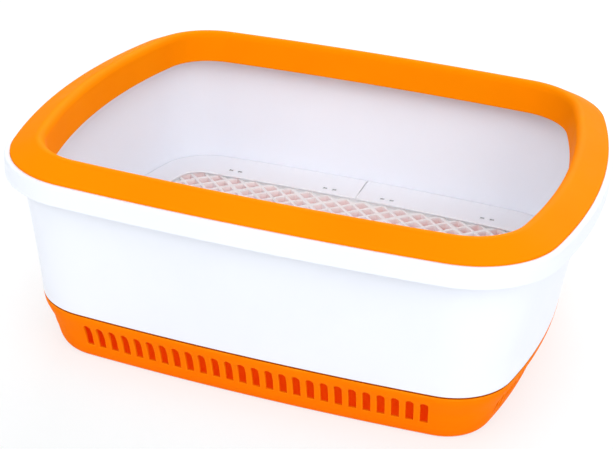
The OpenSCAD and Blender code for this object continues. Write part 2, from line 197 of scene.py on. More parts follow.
class Shell:
    # Collects the points and faces of one piece. Wear and painted light go with the points: 1 on outer edges,
    # painted lighter as rubbing wear and as an edge highlight, 0 on plain faces and -1 in grooves and windows,
    # painted darker as shade. Inner faces take the piece's second material, where it has one
    def __init__(self):
        self.points, self.wear, self.faces, self.inner, self.count = [], [], [], [], 0

    def add(self, points, wear=0.0):
        # Keeps a grid of points, and gives their indices as a grid of the same shape
        points = np.asarray(points, float)
        shape = points.shape[:-1]
        wear = np.asarray(wear, float)
        if wear.ndim and wear.ndim < len(shape):
            wear = wear.reshape(wear.shape + (1,) * (len(shape) - wear.ndim))
        self.points.append(points.reshape(-1, 3))
        self.wear.append(np.broadcast_to(wear, shape).reshape(-1))
        index = self.count + np.arange(int(np.prod(shape))).reshape(shape)
        self.count += index.size
        return index

    def quads(self, index, loopRows=False, keep=None, inner=False):
        # A face between each row and the next and each column and the next. The last column joins the first
        rows = np.vstack([index, index[:1]]) if loopRows else index
        grid = np.hstack([rows, rows[:, :1]])
        faces = np.stack([grid[:-1, :-1], grid[:-1, 1:], grid[1:, 1:], grid[1:, :-1]], axis=-1)
        inner = np.broadcast_to(inner, faces.shape[:2])
        if keep is not None:
            faces, inner = faces[keep], inner[keep]
        self.faces.append(faces.reshape(-1, 4))
        self.inner.append(inner.reshape(-1))

    def fill(self, loops, up, inner=False):
        # Triangles of a flat face whose first loop is its border and whose other loops are its holes
        at = np.concatenate([np.ravel(loop) for loop in loops])
        allPoints = np.concatenate(self.points)
        flat = [Vector((x, y)) for x, y in allPoints[at][:, :2]]
        bounds = np.cumsum([0] + [len(loop) for loop in loops])
        faces = [list(range(a, b)) for a, b in zip(bounds[:-1], bounds[1:])]
        places, _, triangles, sources, _, owners = delaunay_2d_cdt(
            flat, [], faces, meshing["insideLoops"], meshing["fillReach"])
        kept = np.array([t for t, owner in zip(triangles, owners) if list(owner) == [0]])
        origin = at[np.array([s[0] for s in sources])]
        xy = np.array([[p.x, p.y] for p in places])
        a, b, c = (xy[kept[:, k]] for k in range(3))
        turn = (b[:, 0] - a[:, 0]) * (c[:, 1] - a[:, 1]) - (b[:, 1] - a[:, 1]) * (c[:, 0] - a[:, 0])
        kept = np.where(((turn > 0) == up)[:, None], kept, kept[:, ::-1])
        self.faces.append(origin[kept])
        self.inner.append(np.full(len(kept), inner))

    def walls(self, loop, levels):
        # Copies of a loop at each level's distance outside, height and wear, joined by a wall
        rings = [np.column_stack([offsetLoop(loop, d), np.full(len(loop), z)]) for d, z, _ in levels]
        index = self.add(np.stack(rings), np.array([w for _, _, w in levels]))
        self.quads(index)
        return index

    def make(self, name, body, nodes):
        points, wear = np.concatenate(self.points), np.concatenate(self.wear)
        mesh = bpy.data.meshes.new(name)
        mesh.from_pydata((points * millimetre).tolist(), [],
                         [f for block in self.faces for f in block.tolist()])
        mesh.polygons.foreach_set("material_index", np.concatenate(self.inner).astype(np.int32))
        mesh.attributes.new("wear", "FLOAT", "POINT").data.foreach_set("value", wear)
        mesh.validate()
        piece = bpy.data.objects.new(name, mesh)
        bpy.context.scene.collection.objects.link(piece)
        joinSeams(mesh)
        mesh.shade_smooth()
        mesh.set_sharp_from_angle(angle=math.radians(meshing["sharpAngle"]))
        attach(piece, body)
        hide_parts(*nodes)
        print("made", name, len(mesh.polygons), "faces")
        return piece


def joinSeams(mesh):
    # Points that share a place become one, and the faces are turned outwards
    work = bmesh.new()
    work.from_mesh(mesh)
    bmesh.ops.remove_doubles(work, verts=work.verts, dist=meshing["mergeReach"])
    if work.calc_volume(signed=True) < 0:
        bmesh.ops.reverse_faces(work, faces=work.faces)
    openEdges = sum(1 for e in work.edges if len(e.link_faces) != 2)
    print(mesh.name, "edges without two faces:", openEdges)
    work.to_mesh(mesh)
    work.free()


edgeMiddle = 0.3  # how far a rounded edge's middle lies inside its corner, as a share of its radius

baseTray = {
    "height": 54.0, "wall": 2.8, "inset": 28.3, "band": 5.0, "bandLean": 0.6, "waist": 9.3, "waistDrop": 5.5,
    "footReach": 13.0, "footHeight": 17.0, "footLean": 2.5, "bead": 1.7, "step": 2.0,
    # How the skin's two curves are pulled at their ends, and how far it runs under the floor
    "bandPull": (-0.6, -7), "waistPull": (0.4, 8), "footPull": (-1.5, -8.5), "floorPull": (6, 0),
    "floorLap": (10, 0),
    # The rim from the skin inwards, its rows painted lighter as rubbing wear and an edge highlight, and the
    # ends across and up of the ledge that is painted darker as shade
    "rimRounds": (0.5, 0.15, 0.25, 0.3), "rubbedRows": 12,
    "ledgeStart": 0.35, "ledgeSlack": 0.05, "ledgeTop": 0.1,
    "frontVents": 26, "frontPitch": 12.5, "frontWidth": 7.0,
    "sideVents": 27, "sidePitch": 10.3, "sideWidth": 5.8,
    # insideWear is the share of the lighter edge tone, painted as wear and an edge highlight, on the vents'
    # edges at the inner face
    "ventHeight": 24.5, "ventSill": 17.5, "ventEdge": 0.45, "ventFlat": 2.2, "insideWear": 0.5,
    "floorRings": (0.75, 0.5, 0.25),  # the floor's inner rings, as shares of its border
}
ventGrid = {
    "columns": 6, "rows": 9, "low": 15.6, "high": 43.9,  # a vent's cell
    "clear": 0.4,  # rows nearer than this to the vents' band are left out
    "cornerStep": 3.2,  # the width of a column round a corner
    "lent": 3,  # points that each of a vent's sides lends to its arch
    "beforeNext": 0.999999,  # the most of an arc that a column lies along
}


def basePaths():
    # The base's outer skin from the rim down to the floor, and its lining a wall's thickness inside.
    # The skin is two cubic curves, from the rim's band to the waist and from the foot to the floor
    b = baseTray
    face, foot = b["inset"] + b["waist"], b["inset"] + b["waist"] + b["footReach"]
    bandBottom, middle = b["height"] - b["band"], b["ventSill"] + b["ventHeight"] / 2
    bandFoot = np.array([-b["inset"] - b["bandLean"], bandBottom])
    waist = np.array([-face, middle - b["waistDrop"]])
    footTop = np.array([-face - b["footLean"], b["footHeight"]])
    floorEdge = np.array([-foot, 0])
    skin = np.vstack([
        [[-b["inset"], b["height"] - b["bead"]]],
        bezier(bandFoot, bandFoot + b["bandPull"], waist + b["waistPull"], waist),
        bezier(footTop, footTop + b["footPull"], floorEdge + b["floorPull"], floorEdge),
        [floorEdge - b["floorLap"]],
    ])
    return skin, movedPath(skin, -b["wall"])


def bandedRows(path):
    # The path's own points, with evenly spaced heights in place of those in the vents' band
    g = ventGrid
    heights = np.linspace(g["high"], g["low"], g["rows"] + 1)
    down = path[np.argsort(-path[:, 1], kind="stable")]
    band = np.column_stack([np.interp(-heights, -down[:, 1], down[:, 0]), heights])
    above = path[path[:, 1] > g["high"] + g["clear"]]
    below = path[path[:, 1] < g["low"] - g["clear"]]
    return above, band, below


def baseProfile():
    # The profile from under the floor up the skin, over the rim and down the lining, with its wear and painted
    # light and the rows at which the skin's band, the lining and the lining's band start
    b = baseTray
    skin, lining = basePaths()
    outAbove, outBand, outBelow = bandedRows(skin)
    inAbove, inBand, inBelow = bandedRows(lining[1:])
    ledge, top = -b["inset"] - b["step"], b["height"]
    rim, _ = roundedPath(
        [outAbove[1], outAbove[0], [ledge, top - b["bead"]], [ledge, top], [-b["inset"] - b["wall"], top],
         inAbove[0]], [0, *b["rimRounds"], 0])
    outer = np.vstack([outBelow[::-1], outBand[::-1], outAbove[:0:-1]])
    over = rim[1:-1]
    profile = np.vstack([outer, over, inAbove, inBand, inBelow])
    wear = np.zeros(len(profile))
    # The rim's first rows are painted lighter, as rubbing wear and an edge highlight
    wear[len(outer):len(outer) + b["rubbedRows"]] = 1
    # The ledge under the tub's foot is painted darker, as shade in the gap under the foot
    outside, height = profile.T
    across = (outside < -b["inset"] - b["ledgeStart"]) & (outside > ledge - b["ledgeSlack"])
    wear[across & (height > top - b["bead"] - b["ledgeSlack"]) & (height < top - b["ledgeTop"])] = -1
    rows = {"outBand": len(outBelow), "lining": len(outer) + len(over)}
    rows["inBand"] = rows["lining"] + len(inAbove)
    return profile, wear, rows, outBand[::-1], inBand[::-1]


def ventColumns():
    # Distances along the vents' face: even columns in each vent's cell and even steps round each corner
    b, g = baseTray, ventGrid
    _, radius, _, sweep = arcsOf(lipShape)
    face = -b["inset"] - b["waist"]
    lengths = (radius + face) * sweep
    ends = np.append(0, np.cumsum(lengths))
    sides = []
    for arc, kind in ((0, "side"), (2, "front"), (4, "side"), (6, "front")):
        count, pitch = b[kind + "Vents"], b[kind + "Pitch"]
        middle = (ends[arc] + ends[arc + 1]) / 2
        low = middle - count * pitch / 2
        sides.append({"low": low, "high": low + count * pitch, "count": count, "width": b[kind + "Width"]})
    columns = []
    for k, side in enumerate(sides):
        side["first"] = sum(len(c) for c in columns)
        columns.append(np.linspace(side["low"], side["high"], side["count"] * g["columns"] + 1))
        nextLow = sides[(k + 1) % 4]["low"] + (ends[-1] if k == 3 else 0)
        steps = math.ceil((nextLow - side["high"]) / g["cornerStep"])
        columns.append(np.linspace(side["high"], nextLow, steps + 1)[1:-1])

    def uAt(s):
        # The number of the arc that the distance falls on, plus the share of that arc before it
        s = np.mod(s, ends[-1])
        arc = np.clip(np.searchsorted(ends, s, side="right") - 1, 0, 7)
        return arc + np.clip((s - ends[arc]) / lengths[arc], 0, g["beforeNext"])

    return np.concatenate(columns), sides, uAt


def ventContour(half):
    # A vent's sill, right side, arch and left side, with as many points as the border of its cell
    n, m, lent = ventGrid["columns"], ventGrid["rows"], ventGrid["lent"]
    straight = baseTray["ventHeight"] - half
    sill = np.column_stack([np.linspace(-half, half, n + 1)[:-1], np.zeros(n)])
    rise = np.column_stack([np.full(m - lent, half), np.linspace(0, straight, m - lent + 1)[:-1]])
    turn = np.radians(np.linspace(0, 180, 2 * lent + n + 1))[:-1]
    arch = np.column_stack([half * np.cos(turn), straight + half * np.sin(turn)])
    fall = np.column_stack([np.full(m - lent, -half), np.linspace(straight, 0, m - lent + 1)[:-1]])
    return np.vstack([sill, rise, arch, fall])


def addVents(shell, index, side, rows, outBand, inBand, uAt):
    # A vent's rings are its contour grown by each level's amount, set at the level's depth between the skin
    # and the lining. The first and last rings join the borders of the cell on the two faces
    b, n, m = baseTray, ventGrid["columns"], ventGrid["rows"]
    edge, wall, count, inside = b["ventEdge"], b["wall"], side["count"], b["insideWear"]
    contour = ventContour(side["width"] / 2)
    outwards = offsetLoop(contour, 1.0) - contour
    # Each level's third number is the wear and painted light: the outer edge's rings are painted lighter as
    # wear and an edge highlight, and the inner edge's rings partly so
    levels = np.array([
        (edge * b["ventFlat"], 0, 0), (edge, 0, 1), (edgeMiddle * edge, edgeMiddle * edge, 1), (0, edge, 1),
        (0, wall - edge, inside), (edgeMiddle * edge, wall - edgeMiddle * edge, inside),
        (edge, wall, inside)])
    grow, depth, wornAndPaintedLight = (levels[None, :, k, None] for k in range(3))
    depth = depth / wall
    middle = side["low"] + (np.arange(count) + 0.5) * (side["high"] - side["low"]) / count
    x = middle[:, None, None] + contour[None, None, :, 0] + grow * outwards[None, None, :, 0]
    z = b["ventSill"] + contour[None, None, :, 1] + grow * outwards[None, None, :, 1]
    z = np.broadcast_to(z, x.shape)
    outside = (np.interp(z, outBand[:, 1], outBand[:, 0]) * (1 - depth)
               + np.interp(z, inBand[:, 1], inBand[:, 0]) * depth)
    px, py = onOutline(lipShape, uAt(x), outside)
    rings = shell.add(np.stack([px, py, z], axis=-1), np.broadcast_to(wornAndPaintedLight, px.shape))
    right = np.concatenate([np.arange(n), np.full(m, n), np.arange(n, 0, -1), np.zeros(m)]).astype(int)
    up = np.concatenate([np.zeros(n), np.arange(m), np.full(n, m), np.arange(m, 0, -1)]).astype(int)
    column = (side["first"] + np.arange(count)[:, None] * n + right[None]) % index.shape[1]
    outBorder = index[(rows["outBand"] + up)[None], column]
    inBorder = index[(rows["inBand"] + m - up)[None], column]
    for joined, inner in (((outBorder, rings[:, 0]), False), ((rings[:, -1], inBorder), True)):
        for one in np.stack(joined, axis=1):
            shell.quads(one, inner=inner)
    for one in rings:
        shell.quads(one)


def makeBaseTray():
    # The profile is carried round the lip's outline, apart from the cells that the vents fill, and the
    # floor's two faces are rings of the profile's ends scaled towards the middle
    b, g = baseTray, ventGrid
    profile, wear, rows, outBand, inBand = baseProfile()
    along, sides, uAt = ventColumns()
    u = uAt(along)
    shell = Shell()
    index = shell.add(swept(lipShape, u, profile), wear)
    last = len(profile) - 1
    keep = np.ones((last, len(u)), bool)
    for side in sides:
        cells = slice(side["first"], side["first"] + side["count"] * g["columns"])
        for band in ("outBand", "inBand"):
            keep[rows[band]:rows[band] + g["rows"], cells] = False
    # The lining's faces take the second material, whose deeper red and weak glow are painted light for light
    # bouncing inside the base
    shell.quads(index, keep=keep, inner=(np.arange(last) >= rows["lining"])[:, None])
    for side in sides:
        addVents(shell, index, side, rows, outBand, inBand, uAt)

    for row, height, up in ((0, 0.0, False), (last, b["wall"], True)):
        border = swept(lipShape, u, profile[row:row + 1])[0]
        shrink = np.array(b["floorRings"])[:, None, None]
        inward = shell.add(border[None] * np.array([1, 1, 0]) * shrink + [0, 0, height])
        stack = np.vstack([index[row:row + 1], inward])
        shell.quads(stack if up else stack[::-1], inner=up)
        shell.fill([inward[-1]], up, inner=up)
    return shell.make("baseTrayShell", "base", ["base_tray"])


tub = {
    "foot": 54.0, "lip": 192.0, "skirt": 18.0, "wall": 2.5, "baseInset": 28.3, "flareInset": 14.0,
    "curl": 4.3, "ledge": 2.0, "ribDepth": 7.0, "ribLean": 1.8, "ribFace": 31.5,
    "border": 5.0, "flange": 2.6, "seatDrop": 1.8, "ledgeReach": 5.0,
    "faceRows": 30, "clearFoot": 3.0, "clearSeat": 4.0,  # rows of the wall, and its inside's ends
    # Roundings of the rib, the foot, under the flange, the skirt, the lip and the guard's seat
    "ribRounds": (0.5, 0.5, 0.2), "footRound": 0.4, "underRounds": (0.8, 0.8), "skirtRounds": (0.4, 0.6),
    "lipRound": 4.0, "seatRounds": (0.25, 0.3, 0.6), "roundSteps": 5,
}
clips = {
    "near": 32.0, "far": 140.5, "y": 147.5, "pitch": 10.3,
    "window": (4.5, 4.2), "windowCorner": 0.35, "windowRound": 0.15, "windowShade": 0.4,
    "padMargin": (1.7, 0.8), "padRise": 0.4, "padCorner": 0.5, "padFoot": 0.1, "padRound": 0.15,
    "tongue": 2.0, "tongueMargin": 0.2, "tongueCorner": 0.6, "tongueTip": (0.3, 0.4),
    "slot": (7.6, 3.0), "slotCorner": 0.3, "slotSteps": 2,
}


def tubFace(z):
    # The wall's outer face: a straight draft with a little more flare near the top
    t = (z - tub["foot"]) / (tub["lip"] - tub["skirt"] - tub["foot"])
    flare = tub["baseInset"] - tub["flareInset"]
    return -tub["baseInset"] + (flare - tub["curl"]) * t + tub["curl"] * t * t


def slotLoops():
    # The slots that the clips' tongues go through, four at the front and four at the back
    return [boxLoop((sx * x, sy * clips["y"]), clips["slot"], clips["slotCorner"], clips["slotSteps"])
            for sx in (-1, 1) for sy in (-1, 1) for x in (clips["near"], clips["far"])]


def makeTub():
    # One profile round the lip's outline: rib, foot, wall, skirt, lip, seat and the wall's inside. The ledge
    # is flat faces between its ends and a ring a fixed distance outside the opening
    t = tub
    u = evenColumns()
    top, seat, bottom = t["lip"], t["lip"] - t["seatDrop"], t["lip"] - t["skirt"]
    ledgeTop, under = t["foot"] + t["ledge"], seat - t["flange"]
    heights = np.linspace(t["foot"], under, t["faceRows"])
    face = np.column_stack([tubFace(heights), heights])
    lined = (face[:, 1] > ledgeTop + t["clearFoot"]) & (face[:, 1] < seat - t["clearSeat"])
    inside = face[lined][::-1] - [t["wall"], 0]
    ribIn, ribOut = -t["ribFace"] - t["wall"], -t["ribFace"]
    ribBottom = t["foot"] - t["ribDepth"]
    corners = np.vstack([
        [[ribIn, t["foot"]], [ribIn - t["ribLean"], ribBottom], [ribOut - t["ribLean"], ribBottom],
         [ribOut, t["foot"]]],
        face, [[-t["wall"], under], [-t["wall"], bottom], [0, bottom], [0, top], [-t["border"], top],
               [-t["border"], seat], [tubFace(seat) - t["wall"], seat]],
        inside, [[tubFace(ledgeTop) - t["wall"], ledgeTop]],
    ])
    rounding = [0, *t["ribRounds"], t["footRound"], *np.zeros(len(face) - 2), *t["underRounds"],
                *t["skirtRounds"], t["lipRound"], *t["seatRounds"], *np.zeros(len(inside) + 1)]
    profile, wear = roundedPath(corners, rounding, steps=t["roundSteps"])
    shell = Shell()
    index = shell.add(swept(lipShape, u, profile), wear)
    shell.quads(index)
    ledgeEnd = [ringAt(openingShape, u, t["ledgeReach"], z) for z in (ledgeTop, t["foot"])]
    opening = shell.add(np.stack(ledgeEnd))
    shell.quads(opening)
    slots = [shell.walls(loop, [(0, ledgeTop, 0), (0, t["foot"], 0)]) for loop in slotLoops()]
    shell.fill([index[-1], opening[0]] + [s[0] for s in slots], True)
    shell.fill([index[0], opening[1]] + [s[1] for s in slots], False)
    return shell.make("tubShell", "tub", ["tub"])


guard = {
    "lip": 192.0, "rise": 12.6, "crestInset": 29.1, "apronInset": 38.5, "apron": 31.3, "wall": 2.2,
    "crestRound": 7.0, "crestRows": 22, "seatDrop": 1.8, "ribDepth": 12.0, "ribGap": 0.4,
    "edge": 5.1, "edgeRise": 2.0,
    # Roundings of the outer edge, the apron's foot, the rib and the lining's two ends
    "edgeRounds": (0.25, 0.7), "apronRounds": (0.8, 0.8), "ribRounds": (0.5, 0.5, 0.5, 0.5),
    "liningRounds": (0.3, 0.25),
    "rubInset": 2.0, "rubReach": 4.0, "rubShare": 0.6,  # where and how far the crest is rubbed
# The crest is painted lighter, as rubbing wear and a highlight, at most by rubShare
}


def runOff(point, centre, radius, side):
    # Angle of the place on a circle from which a straight line runs off to the point
    away = np.array(point) - centre
    return (math.atan2(away[1], away[0]) + side * math.acos(radius / math.hypot(*away))) % (2 * math.pi)


def makeRimGuard():
    # One closed profile round the lip's outline: a slope that runs off the rolled crest's circle to the outer
    # edge, and an apron that runs off it to the foot. The lining is a wall's thickness inside, with a rib
    g = guard
    seat, crest = g["lip"] - g["seatDrop"], g["lip"] + g["rise"]
    foot = np.array([-g["apronInset"], crest - g["apron"]])
    edge = np.array([-g["edge"], g["lip"] + g["edgeRise"]])
    centre = np.array([-g["crestInset"], crest - g["crestRound"]])
    turn = np.linspace(runOff(edge, centre, g["crestRound"], 1), runOff(foot, centre, g["crestRound"], -1),
                       g["crestRows"])
    crestArc = centre + g["crestRound"] * np.column_stack([np.cos(turn), np.sin(turn)])
    skin = np.vstack([[[-g["edge"], seat]], [edge], crestArc, [foot]])
    lining = movedPath(skin, g["wall"])[::-1]
    ribBottom = seat - g["ribDepth"]
    ribFace = tubFace(ribBottom) - tub["wall"] - g["ribGap"]
    low, high = lining[-2], lining[-3]

    def underside(x):
        return low[1] + (high[1] - low[1]) * (x - low[0]) / (high[0] - low[0])

    rib = [[ribFace - g["wall"], underside(ribFace - g["wall"])], [ribFace - g["wall"], ribBottom],
           [ribFace, ribBottom], [ribFace, underside(ribFace)]]
    corners = np.vstack([skin, lining[:-2], rib, [low], [[lining[-1][0], seat]]])
    rounding = [*g["edgeRounds"], *np.zeros(len(crestArc)), *g["apronRounds"], *np.zeros(len(lining) - 3),
                *g["ribRounds"], *g["liningRounds"]]
    profile, wear = roundedPath(corners, rounding, closed=True)
    # Near the crest the wear and painted light rises, painting it lighter as rubbing wear and a highlight
    fromCrest = np.hypot(profile[:, 0] + g["crestInset"] + g["rubInset"], profile[:, 1] - crest)
    wear = np.maximum(wear, g["rubShare"] * np.clip(1 - fromCrest / g["rubReach"], 0, 1))
    shell = Shell()
    shell.quads(shell.add(swept(lipShape, evenColumns(), profile), wear), loopRows=True)
    return shell.make("rimGuardShell", "guard", ["rim_guard"])


lattice = {
    "pitch": 20.58, "rib": 3.2, "heavyRib": 4.6, "heavyEvery": 4, "depth": 8.0, "shift": 16.0,
    "top": 56.0, "flange": 1.1, "flangeReach": 18.0, "flangeStep": 1.0, "flangeRound": 0.3,
    "cellReach": 1.5, "block": 4.6, "edge": 0.4, "cellCorner": 0.5,
    "cells": 20, "middleX": 225.0, "middleY": 158.0,  # cells each way, and how far out their middles may lie
    "borderStep": 4,  # every how many columns of the outline the cells' border takes
    "shortEdge": 0.3, "cornerShare": 0.4,  # edges left out, and the most of an edge that a corner takes
    "smallest": 6.0, "pocket": 95.0, "pocketDepth": 2.6,  # least areas of a pocket and of an open cell
}


def clipped(polygon, border):
    # The part of a convex polygon inside a convex border, one cut along each edge of the border
    for a, b in zip(border, np.roll(border, -1, 0)):
        if len(polygon) < 3:
            return polygon
        side = (b[0] - a[0]) * (polygon[:, 1] - a[1]) - (b[1] - a[1]) * (polygon[:, 0] - a[0])
        after, nextSide = np.roll(polygon, -1, 0), np.roll(side, -1)
        share = side / np.where(side == nextSide, 1, side - nextSide)
        crossing = polygon + share[:, None] * (after - polygon)
        crosses = (side > 0) != (nextSide > 0)
        both = np.stack([polygon, crossing], axis=1).reshape(-1, 2)
        take = np.stack([side > 0, crosses], axis=1).reshape(-1)
        polygon = both[take]
    return polygon


def softCorners(polygon, rounding, steps=2):
    # Short edges are left out, then each corner becomes a quadratic curve
    edge = np.hypot(*(np.roll(polygon, -1, 0) - polygon).T)
    polygon = polygon[edge > lattice["shortEdge"]]
    if len(polygon) < 3:
        return polygon
    back, ahead = np.roll(polygon, 1, 0) - polygon, np.roll(polygon, -1, 0) - polygon
    backLength, aheadLength = np.hypot(*back.T), np.hypot(*ahead.T)
    cut = np.minimum(rounding, lattice["cornerShare"] * np.minimum(backLength, aheadLength))
    t = np.linspace(0, 1, steps + 1)[None, :, None]
    arcs = polygon[:, None] + ((1 - t) ** 2 * (back * (cut / backLength)[:, None])[:, None]
                               + t ** 2 * (ahead * (cut / aheadLength)[:, None])[:, None])
    return arcs.reshape(-1, 2)


def latticeCells():
    # Squares between ribs, turned by 45 degrees and cut off along a line under the frame. The first result is
    # the open cells, and the second is the shallow pockets, which are the small pieces at the border
    k = lattice
    step, diagonal = k["pitch"] / math.sqrt(2), math.sqrt(0.5)
    border = np.column_stack(onOutline(openingShape, evenColumns(), k["cellReach"]))[::k["borderStep"]]
    numbers = range(-k["cells"], k["cells"] + 1)
    halfRib = {n: (k["heavyRib"] if n % k["heavyEvery"] == 0 else k["rib"]) / 2
               for n in range(-k["cells"], k["cells"] + 2)}
    loops, pockets = [], []
    for i, j in ((i, j) for i in numbers for j in numbers):
        x0, x1 = i * step + halfRib[i], (i + 1) * step - halfRib[i + 1]
        y0, y1 = j * step + halfRib[j], (j + 1) * step - halfRib[j + 1]
        x, y = np.array([[x0, y0], [x1, y0], [x1, y1], [x0, y1]]).T
        diamond = np.column_stack([(x - y) * diagonal, (x + y) * diagonal - k["shift"]])
        middleX, middleY = diamond.mean(0)
        if abs(middleX) > k["middleX"] or abs(middleY) > k["middleY"]:
            continue
        cell = clipped(diamond, border)
        if len(cell) < 3:
            continue
        after = np.roll(cell, -1, 0)
        area = abs((cell[:, 0] * after[:, 1] - after[:, 0] * cell[:, 1]).sum()) / 2
        cell = softCorners(cell, k["cellCorner"])
        if area > k["smallest"] and len(cell) >= 3:
            (pockets if area < k["pocket"] else loops).append(cell)
    return loops, pockets


def makeLattice():
    # Flat faces at four heights, joined by the walls of the cells, the flange, the block and the clips' slots
    k = lattice
    u = evenColumns()
    top, bottom, flangeTop = k["top"], k["top"] - k["depth"], k["top"] + k["flange"]
    shell = Shell()
    edge = k["edge"]
    edgeLevels = [(edge, top, 1), (edgeMiddle * edge, top - edgeMiddle * edge, 1), (0, top - edge, 1)]
    cellLevels = edgeLevels + [(0, bottom + edge, 0), (edge, bottom, 0)]
    pocketLevels = edgeLevels + [(0, top - k["pocketDepth"], 0)]
    cells, cutCells = latticeCells()
    holes = [shell.walls(loop, cellLevels) for loop in cells]
    pockets = [shell.walls(loop, pocketLevels) for loop in cutCells]
    for pocket in pockets:
        shell.fill([pocket[-1]], True)

    def ring(rows):
        return shell.add(np.stack([ringAt(openingShape, u, d, z) for d, z in rows]))

    step, reach, rounding = k["cellReach"] + k["flangeStep"], k["flangeReach"], k["flangeRound"]
    inner = ring([(step, top), (step, flangeTop)])
    outer = ring([(reach - rounding, flangeTop), (reach, flangeTop - rounding), (reach, top)])
    block = ring([(k["block"], top), (k["block"], bottom)])
    for wall in (inner, outer, block):
        shell.quads(wall)
    slots = [shell.walls(loop, [(0, flangeTop, 0), (0, top, 0)]) for loop in slotLoops()]
    shell.fill([inner[0]] + [h[0] for h in holes + pockets], True)
    shell.fill([outer[0], inner[1]] + [s[0] for s in slots], True)
    shell.fill([outer[2], block[0]] + [s[1] for s in slots], False)
    shell.fill([block[1]] + [h[-1] for h in holes], False)
    return shell.make("latticeSieve", "lattice", ["lattice"])


clampFrame = {
    "bottom": 56.0, "thickness": 2.6, "outer": -31.04, "edge": 0.45, "edgeFlat": 3, "recess": 1.1,
    "tongueBottom": 53.0,
    "seam": 0.6, "seamClear": 2.0,  # half the gap between the halves, and how far from it an arc stops
    "backArc": (2, 3), "backSamples": 201,  # the arc that crosses the seam at the back
}


def halfLoop(shape, outside, side):
    # The right or left half of an outline, from its front to its back, without its ends at the seam
    f = clampFrame
    points = np.column_stack(onOutline(shape, evenColumns(), outside))
    points = points[np.argsort(np.arctan2(points[:, 1], points[:, 0] * side))]
    return points[points[:, 0] * side > f["seam"] + f["seamClear"]]


def yAtSeam(shape, outside):
    # Where an outline crosses the tray's middle at the back
    f = clampFrame
    x, y = onOutline(shape, np.linspace(*f["backArc"], f["backSamples"]), outside)
    return float(np.interp(0, x[::-1], y[::-1]))


def clampLoop(side):
    # Round the frame's outer edge and back along the opening, joined by the two ends at the seam
    outside, ends = clampFrame["outer"], side * clampFrame["seam"]
    outer, inner = halfLoop(lipShape, outside, side), halfLoop(openingShape, 0.0, side)
    yOuter, yInner = yAtSeam(lipShape, outside), yAtSeam(openingShape, 0.0)
    loop = np.vstack([[[ends, -yOuter]], outer, [[ends, yOuter], [ends, yInner]], inner[::-1],
                      [[ends, -yInner]]])
    return loop if side > 0 else loop[::-1]


def makeClampHalf(name, body, node, side):
    # A flat half ring with a rounded top edge. At each clip it has two windows, a raised pad between them
    # and a tongue below
    f, c, edge = clampFrame, clips, clampFrame["edge"]
    top, bottom = f["bottom"] + f["thickness"], f["bottom"]
    recessTop, padTop, tongueBottom = bottom + f["recess"], top + c["padRise"], f["tongueBottom"]
    tipIn, tipRise = c["tongueTip"]
    # Each level's third number is the wear and painted light: the rounded outer edge, the pads and the
    # tongues' tips are painted lighter as wear and an edge highlight, and the windows' walls below their
    # rounding are painted darker as shade
    borderLevels = [(-f["edgeFlat"] * edge, top, 0), (-edge, top, 1),
                    (-edgeMiddle * edge, top - edgeMiddle * edge, 1), (0, top - edge, 1), (0, recessTop, 0)]
    windowLevels = [(c["windowShade"], top, 0), (c["windowRound"], top, 0), (0, top - c["windowRound"], 0),
                    (0, top - c["windowShade"], -1), (0, recessTop, -1)]
    padLevels = [(c["padFoot"], top, 0), (0, top + c["padFoot"], 0), (0, padTop - c["padRound"], 1),
                 (-c["padRound"], padTop, 1)]
    tongueLevels = [(0, recessTop, 0), (0, tongueBottom + tipRise, 0), (-tipIn, tongueBottom, 1)]
    between = c["pitch"] - c["window"][0]
    padSize = (between - c["padMargin"][0], c["window"][1] - c["padMargin"][1])
    tongueSize = (between - c["tongueMargin"], c["tongue"])
    shell = Shell()
    border = shell.walls(clampLoop(side), borderLevels)
    windows, pads, tongues = [], [], []
    for px, py in ((side * x, s * c["y"]) for s in (-1, 1) for x in (c["near"], c["far"])):
        for way in (-1, 1):
            window = boxLoop((px + way * c["pitch"] / 2, py), c["window"], c["windowCorner"])
            windows.append(shell.walls(window, windowLevels))
        pads.append(shell.walls(boxLoop((px, py), padSize, c["padCorner"]), padLevels))
        tongues.append(shell.walls(boxLoop((px, py), tongueSize, c["tongueCorner"]), tongueLevels))
    shell.fill([border[0]] + [w[0] for w in windows] + [p[0] for p in pads], True)
    for pad in pads:
        shell.fill([pad[-1]], True)
    for tongue in tongues:
        shell.fill([tongue[-1]], False)
    shell.fill([border[-1]] + [w[-1] for w in windows] + [t[0] for t in tongues], False)
    return shell.make(name, body, [node])


class Wire:
    # One socket whose arithmetic adds Math nodes to its tree
    def __init__(self, paint, socket):
        self.paint, self.socket = paint, socket

    def combine(self, operation, first, second):
        return self.paint.add("ShaderNodeMath", {"operation": operation}, {0: first, 1: second})["Value"]

    def __add__(self, other):
        return self.combine("ADD", self, other)

    def __radd__(self, other):
        return self.combine("ADD", other, self)

    def __sub__(self, other):
        return self.combine("SUBTRACT", self, other)

    def __rsub__(self, other):
        return self.combine("SUBTRACT", other, self)

    def __mul__(self, other):
        return self.combine("MULTIPLY", self, other)

    def __rmul__(self, other):
        return self.combine("MULTIPLY", other, self)


class Placed:
    # A node whose outputs are read by name as wires
    def __init__(self, paint, node):
        self.paint, self.node = paint, node

    def __getitem__(self, output):
        return Wire(self.paint, self.node.outputs[output])


